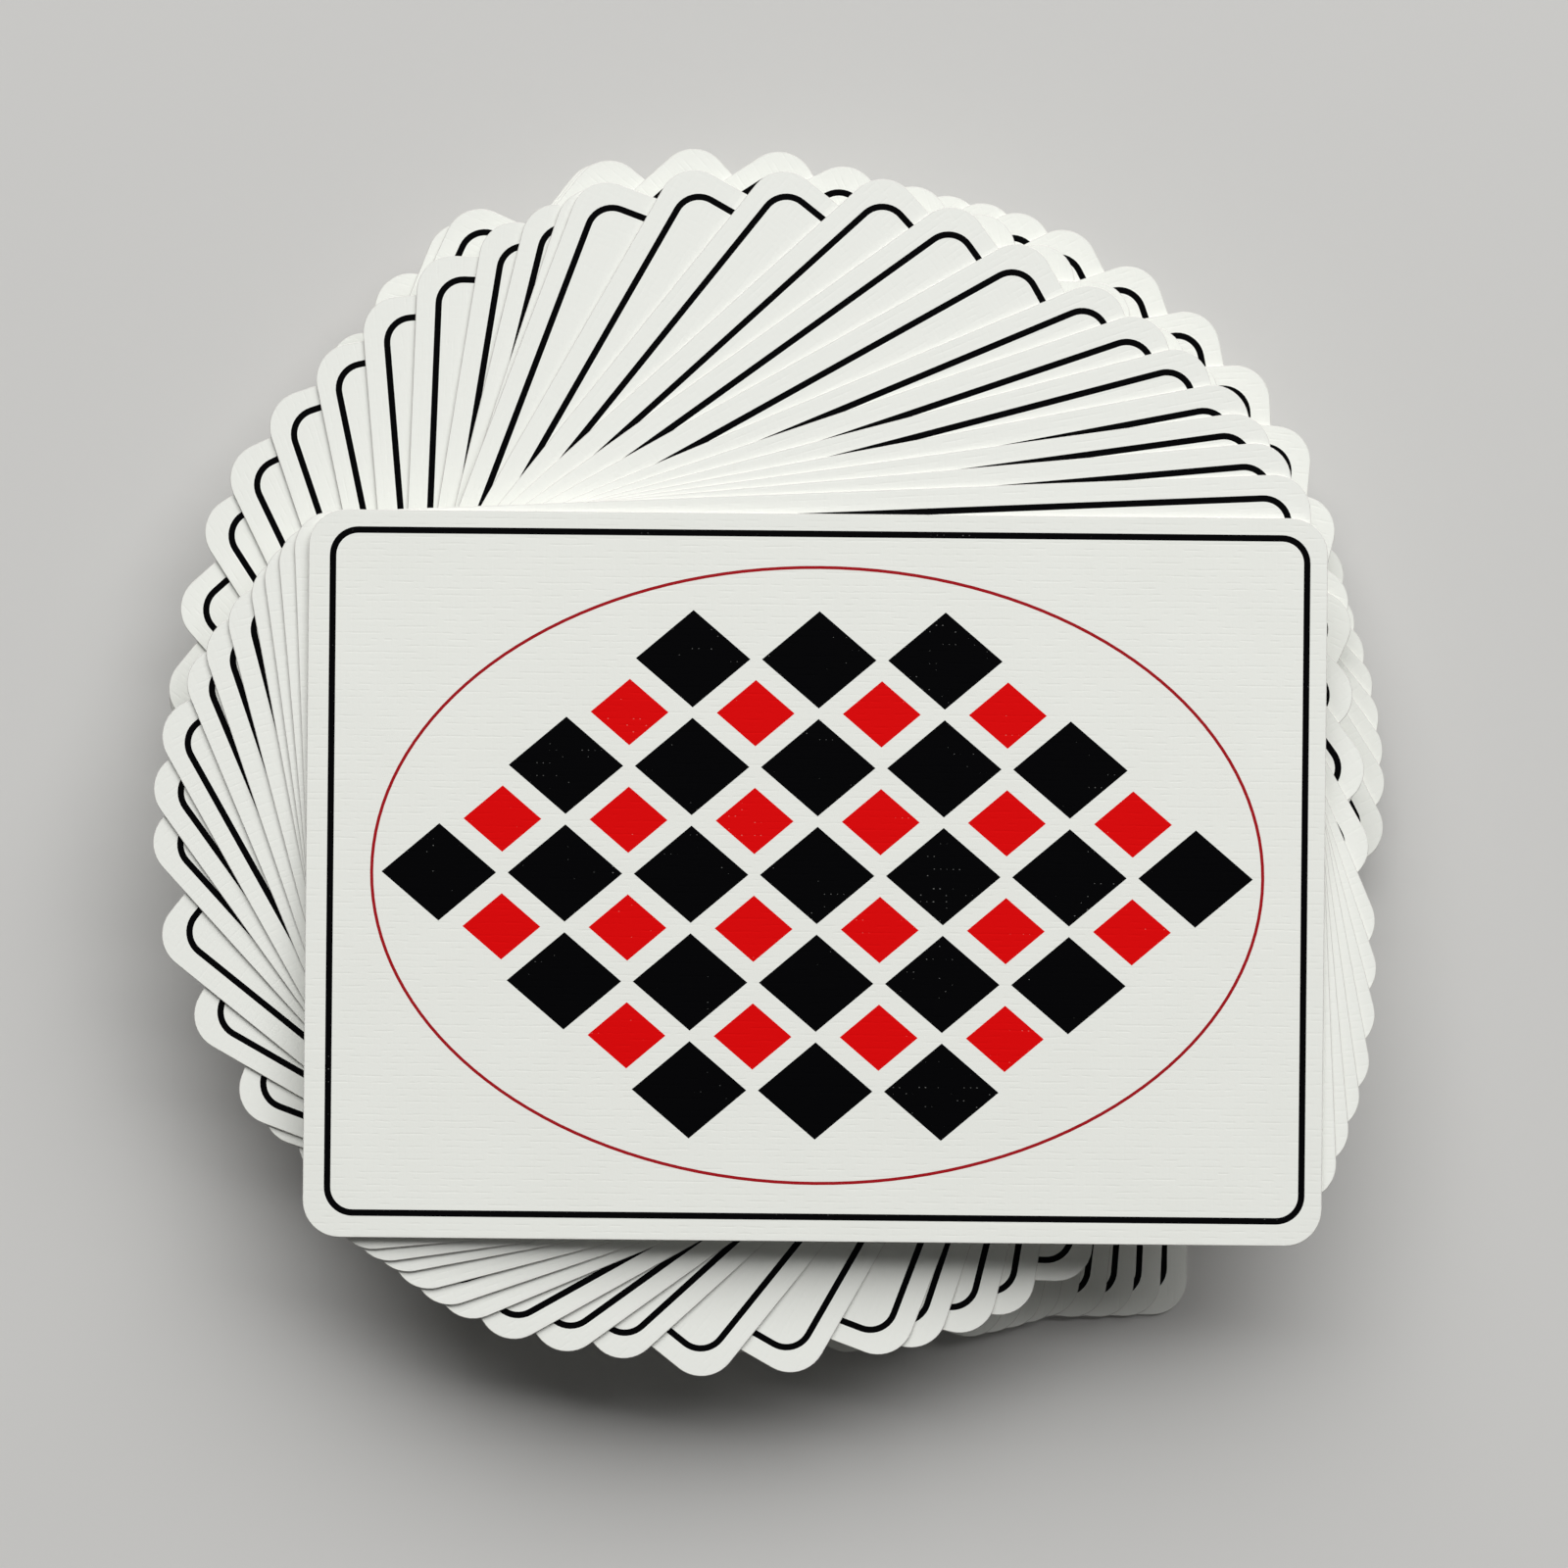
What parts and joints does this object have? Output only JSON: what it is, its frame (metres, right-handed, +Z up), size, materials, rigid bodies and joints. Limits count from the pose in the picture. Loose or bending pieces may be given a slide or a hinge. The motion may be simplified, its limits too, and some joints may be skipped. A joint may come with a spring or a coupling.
{
  "type": "playing card deck",
  "caption": "Deck of poker-size playing cards twisted into a spiral fan, backs up; the cards turn together to square up or open, and the top card slides forward.",
  "frame": {"origin": "middle of the bottom card's underside, on the table", "axes": "+X along the top card's long side, +Y along its short side away from the viewer, +Z up from the table"},
  "size_m": [0.11, 0.1091, 0.0162],
  "materials": {
    "card_stock": "linen-embossed satin coating over white card, black and red print"
  },
  "bodies": {
    "card_54": {"card_54": "card_stock"},
    "card_53": {"card_53": "card_stock"},
    "card_52": {"card_52": "card_stock"},
    "card_51": {"card_51": "card_stock"},
    "card_50": {"card_50": "card_stock"},
    "card_49": {"card_49": "card_stock"},
    "card_48": {"card_48": "card_stock"},
    "card_47": {"card_47": "card_stock"},
    "card_46": {"card_46": "card_stock"},
    "card_45": {"card_45": "card_stock"},
    "card_44": {"card_44": "card_stock"},
    "card_43": {"card_43": "card_stock"},
    "card_42": {"card_42": "card_stock"},
    "card_41": {"card_41": "card_stock"},
    "card_40": {"card_40": "card_stock"},
    "card_39": {"card_39": "card_stock"},
    "card_38": {"card_38": "card_stock"},
    "card_37": {"card_37": "card_stock"},
    "card_36": {"card_36": "card_stock"},
    "card_35": {"card_35": "card_stock"},
    "card_34": {"card_34": "card_stock"},
    "card_33": {"card_33": "card_stock"},
    "card_32": {"card_32": "card_stock"},
    "card_31": {"card_31": "card_stock"},
    "card_30": {"card_30": "card_stock"},
    "card_29": {"card_29": "card_stock"},
    "card_28": {"card_28": "card_stock"},
    "card_27": {"card_27": "card_stock"},
    "card_26": {"card_26": "card_stock"},
    "card_25": {"card_25": "card_stock"},
    "card_24": {"card_24": "card_stock"},
    "card_23": {"card_23": "card_stock"},
    "card_22": {"card_22": "card_stock"},
    "card_21": {"card_21": "card_stock"},
    "card_20": {"card_20": "card_stock"},
    "card_19": {"card_19": "card_stock"},
    "card_18": {"card_18": "card_stock"},
    "card_17": {"card_17": "card_stock"},
    "card_16": {"card_16": "card_stock"},
    "card_15": {"card_15": "card_stock"},
    "card_14": {"card_14": "card_stock"},
    "card_13": {"card_13": "card_stock"},
    "card_12": {"card_12": "card_stock"},
    "card_11": {"card_11": "card_stock"},
    "card_10": {"card_10": "card_stock"},
    "card_09": {"card_09": "card_stock"},
    "card_08": {"card_08": "card_stock"},
    "card_07": {"card_07": "card_stock"},
    "card_06": {"card_06": "card_stock"},
    "card_05": {"card_05": "card_stock"},
    "card_04": {"card_04": "card_stock"},
    "card_03": {"card_03": "card_stock"},
    "card_02": {"card_02": "card_stock"},
    "card_01": {"card_01": "card_stock"}
  },
  "joints": [
    {"name": "fan_02", "type": "hinge", "parent": "card_54", "child": "card_02", "pos_m": [0.0005, -0.0035, 0.0156], "axis": [0, 0, 1], "range_deg": [-90, 270]},
    {"name": "fan_03", "type": "hinge", "parent": "card_54", "child": "card_03", "pos_m": [-0.00048, -0.0025, 0.0153], "axis": [0, 0, 1], "range_deg": [-89.07, 267.2]},
    {"name": "fan_04", "type": "hinge", "parent": "card_54", "child": "card_04", "pos_m": [-0.00099, -0.00206, 0.015], "axis": [0, 0, 1], "range_deg": [-88.13, 264.4]},
    {"name": "fan_05", "type": "hinge", "parent": "card_54", "child": "card_05", "pos_m": [-0.00143, -0.00167, 0.0147], "axis": [0, 0, 1], "range_deg": [-87.2, 261.6]},
    {"name": "fan_06", "type": "hinge", "parent": "card_54", "child": "card_06", "pos_m": [-0.00184, -0.00128, 0.0144], "axis": [0, 0, 1], "range_deg": [-86.27, 258.8]},
    {"name": "fan_07", "type": "hinge", "parent": "card_54", "child": "card_07", "pos_m": [-0.00253, -0.00108, 0.0141], "axis": [0, 0, 1], "range_deg": [-84.93, 254.8]},
    {"name": "fan_08", "type": "hinge", "parent": "card_54", "child": "card_08", "pos_m": [-0.00321, -0.00092, 0.0138], "axis": [0, 0, 1], "range_deg": [-83.6, 250.8]},
    {"name": "fan_09", "type": "hinge", "parent": "card_54", "child": "card_09", "pos_m": [-0.00386, -0.00073, 0.0135], "axis": [0, 0, 1], "range_deg": [-82.27, 246.8]},
    {"name": "fan_10", "type": "hinge", "parent": "card_54", "child": "card_10", "pos_m": [-0.00472, -0.00043, 0.0132], "axis": [0, 0, 1], "range_deg": [-80.1, 240.3]},
    {"name": "fan_11", "type": "hinge", "parent": "card_54", "child": "card_11", "pos_m": [-0.00516, 0.00023, 0.0129], "axis": [0, 0, 1], "range_deg": [-77.93, 233.8]},
    {"name": "fan_12", "type": "hinge", "parent": "card_54", "child": "card_12", "pos_m": [-0.00548, 0.00086, 0.0126], "axis": [0, 0, 1], "range_deg": [-75.77, 227.3]},
    {"name": "fan_13", "type": "hinge", "parent": "card_54", "child": "card_13", "pos_m": [-0.00561, 0.00086, 0.0123], "axis": [0, 0, 1], "range_deg": [-72.77, 218.3]},
    {"name": "fan_14", "type": "hinge", "parent": "card_54", "child": "card_14", "pos_m": [-0.00544, 0.00138, 0.012], "axis": [0, 0, 1], "range_deg": [-69.77, 209.3]},
    {"name": "fan_15", "type": "hinge", "parent": "card_54", "child": "card_15", "pos_m": [-0.00524, 0.0019, 0.0117], "axis": [0, 0, 1], "range_deg": [-66.77, 200.3]},
    {"name": "fan_16", "type": "hinge", "parent": "card_54", "child": "card_16", "pos_m": [-0.00477, 0.00207, 0.0114], "axis": [0, 0, 1], "range_deg": [-65.93, 197.8]},
    {"name": "fan_17", "type": "hinge", "parent": "card_54", "child": "card_17", "pos_m": [-0.00436, 0.00228, 0.0111], "axis": [0, 0, 1], "range_deg": [-64.43, 193.3]},
    {"name": "fan_18", "type": "hinge", "parent": "card_54", "child": "card_18", "pos_m": [-0.00432, 0.00243, 0.0108], "axis": [0, 0, 1], "range_deg": [-62.93, 188.8]},
    {"name": "fan_19", "type": "hinge", "parent": "card_54", "child": "card_19", "pos_m": [-0.00427, 0.00268, 0.0105], "axis": [0, 0, 1], "range_deg": [-60.6, 181.8]},
    {"name": "fan_20", "type": "hinge", "parent": "card_54", "child": "card_20", "pos_m": [-0.00402, 0.00294, 0.0102], "axis": [0, 0, 1], "range_deg": [-58.27, 174.8]},
    {"name": "fan_21", "type": "hinge", "parent": "card_54", "child": "card_21", "pos_m": [-0.00371, 0.00318, 0.0099], "axis": [0, 0, 1], "range_deg": [-55.93, 167.8]},
    {"name": "fan_22", "type": "hinge", "parent": "card_54", "child": "card_22", "pos_m": [-0.00362, 0.00371, 0.0096], "axis": [0, 0, 1], "range_deg": [-53.6, 160.8]},
    {"name": "fan_23", "type": "hinge", "parent": "card_54", "child": "card_23", "pos_m": [-0.00349, 0.00425, 0.0093], "axis": [0, 0, 1], "range_deg": [-51.27, 153.8]},
    {"name": "fan_24", "type": "hinge", "parent": "card_54", "child": "card_24", "pos_m": [-0.00296, 0.00486, 0.009], "axis": [0, 0, 1], "range_deg": [-48.93, 146.8]},
    {"name": "fan_25", "type": "hinge", "parent": "card_54", "child": "card_25", "pos_m": [-0.00241, 0.0055, 0.0087], "axis": [0, 0, 1], "range_deg": [-45.93, 137.8]},
    {"name": "fan_26", "type": "hinge", "parent": "card_54", "child": "card_26", "pos_m": [-0.00182, 0.00613, 0.0084], "axis": [0, 0, 1], "range_deg": [-42.93, 128.8]},
    {"name": "fan_27", "type": "hinge", "parent": "card_54", "child": "card_27", "pos_m": [-0.00179, 0.00616, 0.0081], "axis": [0, 0, 1], "range_deg": [-42.77, 128.3]},
    {"name": "fan_28", "type": "hinge", "parent": "card_54", "child": "card_28", "pos_m": [-0.00175, 0.0062, 0.0078], "axis": [0, 0, 1], "range_deg": [-42.6, 127.8]},
    {"name": "fan_29", "type": "hinge", "parent": "card_54", "child": "card_29", "pos_m": [-0.00067, 0.00719, 0.0075], "axis": [0, 0, 1], "range_deg": [-38, 114]},
    {"name": "fan_30", "type": "hinge", "parent": "card_54", "child": "card_30", "pos_m": [-0.00041, 0.00718, 0.0072], "axis": [0, 0, 1], "range_deg": [-37.17, 111.5]},
    {"name": "fan_31", "type": "hinge", "parent": "card_54", "child": "card_31", "pos_m": [0.00044, 0.00713, 0.0069], "axis": [0, 0, 1], "range_deg": [-34.5, 103.5]},
    {"name": "fan_32", "type": "hinge", "parent": "card_54", "child": "card_32", "pos_m": [0.00134, 0.00702, 0.0066], "axis": [0, 0, 1], "range_deg": [-31.77, 95.3]},
    {"name": "fan_33", "type": "hinge", "parent": "card_54", "child": "card_33", "pos_m": [0.00185, 0.00702, 0.0063], "axis": [0, 0, 1], "range_deg": [-29.03, 87.1]},
    {"name": "fan_34", "type": "hinge", "parent": "card_54", "child": "card_34", "pos_m": [0.00236, 0.00703, 0.006], "axis": [0, 0, 1], "range_deg": [-26.3, 78.9]},
    {"name": "fan_35", "type": "hinge", "parent": "card_54", "child": "card_35", "pos_m": [0.0029, 0.00708, 0.0057], "axis": [0, 0, 1], "range_deg": [-23.57, 70.7]},
    {"name": "fan_36", "type": "hinge", "parent": "card_54", "child": "card_36", "pos_m": [0.00348, 0.00721, 0.0054], "axis": [0, 0, 1], "range_deg": [-20.83, 62.5]},
    {"name": "fan_37", "type": "hinge", "parent": "card_54", "child": "card_37", "pos_m": [0.00368, 0.00764, 0.0051], "axis": [0, 0, 1], "range_deg": [-19.17, 57.5]},
    {"name": "fan_38", "type": "hinge", "parent": "card_54", "child": "card_38", "pos_m": [0.00385, 0.00802, 0.0048], "axis": [0, 0, 1], "range_deg": [-17.97, 53.9]},
    {"name": "fan_39", "type": "hinge", "parent": "card_54", "child": "card_39", "pos_m": [0.00405, 0.00847, 0.0045], "axis": [0, 0, 1], "range_deg": [-16.77, 50.3]},
    {"name": "fan_40", "type": "hinge", "parent": "card_54", "child": "card_40", "pos_m": [0.00427, 0.009, 0.0042], "axis": [0, 0, 1], "range_deg": [-15.57, 46.7]},
    {"name": "fan_41", "type": "hinge", "parent": "card_54", "child": "card_41", "pos_m": [0.00454, 0.00964, 0.0039], "axis": [0, 0, 1], "range_deg": [-14.37, 43.1]},
    {"name": "fan_42", "type": "hinge", "parent": "card_54", "child": "card_42", "pos_m": [0.00493, 0.01035, 0.0036], "axis": [0, 0, 1], "range_deg": [-13.17, 39.5]},
    {"name": "fan_43", "type": "hinge", "parent": "card_54", "child": "card_43", "pos_m": [0.00644, 0.01083, 0.0033], "axis": [0, 0, 1], "range_deg": [-11.42, 34.25]},
    {"name": "fan_44", "type": "hinge", "parent": "card_54", "child": "card_44", "pos_m": [0.00838, 0.01145, 0.003], "axis": [0, 0, 1], "range_deg": [-9.67, 29]},
    {"name": "fan_45", "type": "hinge", "parent": "card_54", "child": "card_45", "pos_m": [0.01032, 0.01381, 0.0027], "axis": [0, 0, 1], "range_deg": [-7.5, 22.5]},
    {"name": "fan_46", "type": "hinge", "parent": "card_54", "child": "card_46", "pos_m": [0.01376, 0.01826, 0.0024], "axis": [0, 0, 1], "range_deg": [-5.33, 16]},
    {"name": "fan_47", "type": "hinge", "parent": "card_54", "child": "card_47", "pos_m": [0.01512, 0.01994, 0.0021], "axis": [0, 0, 1], "range_deg": [-4.67, 14]},
    {"name": "fan_48", "type": "hinge", "parent": "card_54", "child": "card_48", "pos_m": [0.0169, 0.02222, 0.0018], "axis": [0, 0, 1], "range_deg": [-4, 12]},
    {"name": "fan_49", "type": "hinge", "parent": "card_54", "child": "card_49", "pos_m": [0.01937, 0.02545, 0.0015], "axis": [0, 0, 1], "range_deg": [-3.33, 10]},
    {"name": "fan_50", "type": "hinge", "parent": "card_54", "child": "card_50", "pos_m": [0.02303, 0.03035, 0.0012], "axis": [0, 0, 1], "range_deg": [-2.67, 8]},
    {"name": "fan_51", "type": "hinge", "parent": "card_54", "child": "card_51", "pos_m": [0.02354, 0.02993, 0.0009], "axis": [0, 0, 1], "range_deg": [-2, 6]},
    {"name": "fan_52", "type": "hinge", "parent": "card_54", "child": "card_52", "pos_m": [0.02406, 0.02951, 0.0006], "axis": [0, 0, 1], "range_deg": [-1.33, 4]},
    {"name": "fan_53", "type": "hinge", "parent": "card_54", "child": "card_53", "pos_m": [0.02456, 0.02908, 0.0003], "axis": [0, 0, 1], "range_deg": [-0.67, 2]},
    {"name": "deal_01", "type": "slide", "parent": "card_02", "child": "card_01", "axis": [0, -1, 0], "range_m": [0, 0.03]}
  ],
  "couplings": [
    {"joint": "fan_03", "follows": "fan_02", "ratio": 0.98963},
    {"joint": "fan_04", "follows": "fan_02", "ratio": 0.97926},
    {"joint": "fan_05", "follows": "fan_02", "ratio": 0.96889},
    {"joint": "fan_06", "follows": "fan_02", "ratio": 0.95852},
    {"joint": "fan_07", "follows": "fan_02", "ratio": 0.9437},
    {"joint": "fan_08", "follows": "fan_02", "ratio": 0.92889},
    {"joint": "fan_09", "follows": "fan_02", "ratio": 0.91407},
    {"joint": "fan_10", "follows": "fan_02", "ratio": 0.89},
    {"joint": "fan_11", "follows": "fan_02", "ratio": 0.86593},
    {"joint": "fan_12", "follows": "fan_02", "ratio": 0.84185},
    {"joint": "fan_13", "follows": "fan_02", "ratio": 0.80852},
    {"joint": "fan_14", "follows": "fan_02", "ratio": 0.77519},
    {"joint": "fan_15", "follows": "fan_02", "ratio": 0.74185},
    {"joint": "fan_16", "follows": "fan_02", "ratio": 0.73259},
    {"joint": "fan_17", "follows": "fan_02", "ratio": 0.71593},
    {"joint": "fan_18", "follows": "fan_02", "ratio": 0.69926},
    {"joint": "fan_19", "follows": "fan_02", "ratio": 0.67333},
    {"joint": "fan_20", "follows": "fan_02", "ratio": 0.64741},
    {"joint": "fan_21", "follows": "fan_02", "ratio": 0.62148},
    {"joint": "fan_22", "follows": "fan_02", "ratio": 0.59556},
    {"joint": "fan_23", "follows": "fan_02", "ratio": 0.56963},
    {"joint": "fan_24", "follows": "fan_02", "ratio": 0.5437},
    {"joint": "fan_25", "follows": "fan_02", "ratio": 0.51037},
    {"joint": "fan_26", "follows": "fan_02", "ratio": 0.47704},
    {"joint": "fan_27", "follows": "fan_02", "ratio": 0.47519},
    {"joint": "fan_28", "follows": "fan_02", "ratio": 0.47333},
    {"joint": "fan_29", "follows": "fan_02", "ratio": 0.42222},
    {"joint": "fan_30", "follows": "fan_02", "ratio": 0.41296},
    {"joint": "fan_31", "follows": "fan_02", "ratio": 0.38333},
    {"joint": "fan_32", "follows": "fan_02", "ratio": 0.35296},
    {"joint": "fan_33", "follows": "fan_02", "ratio": 0.32259},
    {"joint": "fan_34", "follows": "fan_02", "ratio": 0.29222},
    {"joint": "fan_35", "follows": "fan_02", "ratio": 0.26185},
    {"joint": "fan_36", "follows": "fan_02", "ratio": 0.23148},
    {"joint": "fan_37", "follows": "fan_02", "ratio": 0.21296},
    {"joint": "fan_38", "follows": "fan_02", "ratio": 0.19963},
    {"joint": "fan_39", "follows": "fan_02", "ratio": 0.1863},
    {"joint": "fan_40", "follows": "fan_02", "ratio": 0.17296},
    {"joint": "fan_41", "follows": "fan_02", "ratio": 0.15963},
    {"joint": "fan_42", "follows": "fan_02", "ratio": 0.1463},
    {"joint": "fan_43", "follows": "fan_02", "ratio": 0.12685},
    {"joint": "fan_44", "follows": "fan_02", "ratio": 0.10741},
    {"joint": "fan_45", "follows": "fan_02", "ratio": 0.083333},
    {"joint": "fan_46", "follows": "fan_02", "ratio": 0.059259},
    {"joint": "fan_47", "follows": "fan_02", "ratio": 0.051852},
    {"joint": "fan_48", "follows": "fan_02", "ratio": 0.044444},
    {"joint": "fan_49", "follows": "fan_02", "ratio": 0.037037},
    {"joint": "fan_50", "follows": "fan_02", "ratio": 0.02963},
    {"joint": "fan_51", "follows": "fan_02", "ratio": 0.022222},
    {"joint": "fan_52", "follows": "fan_02", "ratio": 0.014815},
    {"joint": "fan_53", "follows": "fan_02", "ratio": 0.0074074}
  ]
}
